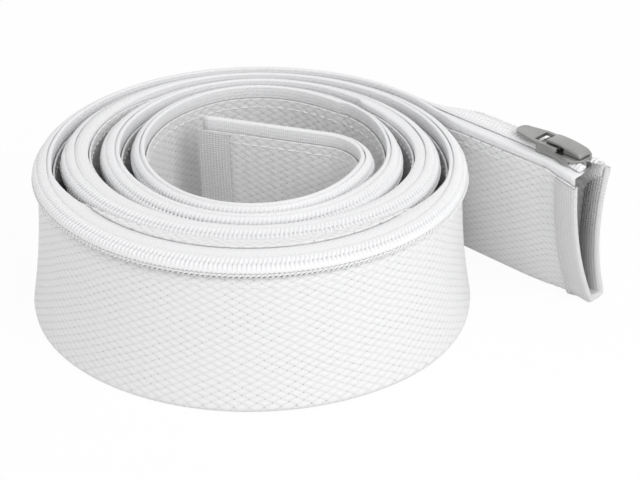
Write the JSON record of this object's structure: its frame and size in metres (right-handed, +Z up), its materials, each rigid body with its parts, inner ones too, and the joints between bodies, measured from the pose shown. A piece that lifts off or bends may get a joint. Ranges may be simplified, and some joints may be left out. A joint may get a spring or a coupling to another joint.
{
  "type": "zippered cable sleeve",
  "caption": "Rolled cable sleeve of braided fabric, closed by a coil zipper with a slider and pull, with bound ends and an open straight tail.",
  "frame": {"origin": "centre of the bounding box at the table", "axes": "+X along the straight tail towards the open mouth, +Z up, away from the table, along the width of the sleeve"},
  "size_m": [0.17, 0.165, 0.0607],
  "materials": {
    "braid": "matte woven",
    "tape": "matte",
    "coil": "satin",
    "binding": "matte twill",
    "metal": "satin"
  },
  "bodies": {
    "sleeve": {"sleeve_fabric": "braid", "zipper_tape_outer": "tape", "zipper_tape_inner": "tape", "zipper_coil_outer": "coil", "zipper_coil_inner": "coil", "mouth_binding": "binding", "inner_end_binding": "binding"},
    "slider": {"slider_body": "metal", "slider_cap": "metal", "lock_spring": "metal"},
    "pull": {"pull_tab": "metal"}
  },
  "joints": [
    {"name": "slider_travel", "type": "slide", "parent": "sleeve", "child": "slider", "axis": [1, 0, 0], "range_m": [-0.035, 0.003], "deforming": ["zipper_coil_outer", "zipper_coil_inner"]},
    {"name": "pull_swing", "type": "hinge", "parent": "slider", "child": "pull", "pos_m": [0.07021, 0.07201, 0.05852], "axis": [0, 1, 0], "range_deg": [0, 170]}
  ]
}
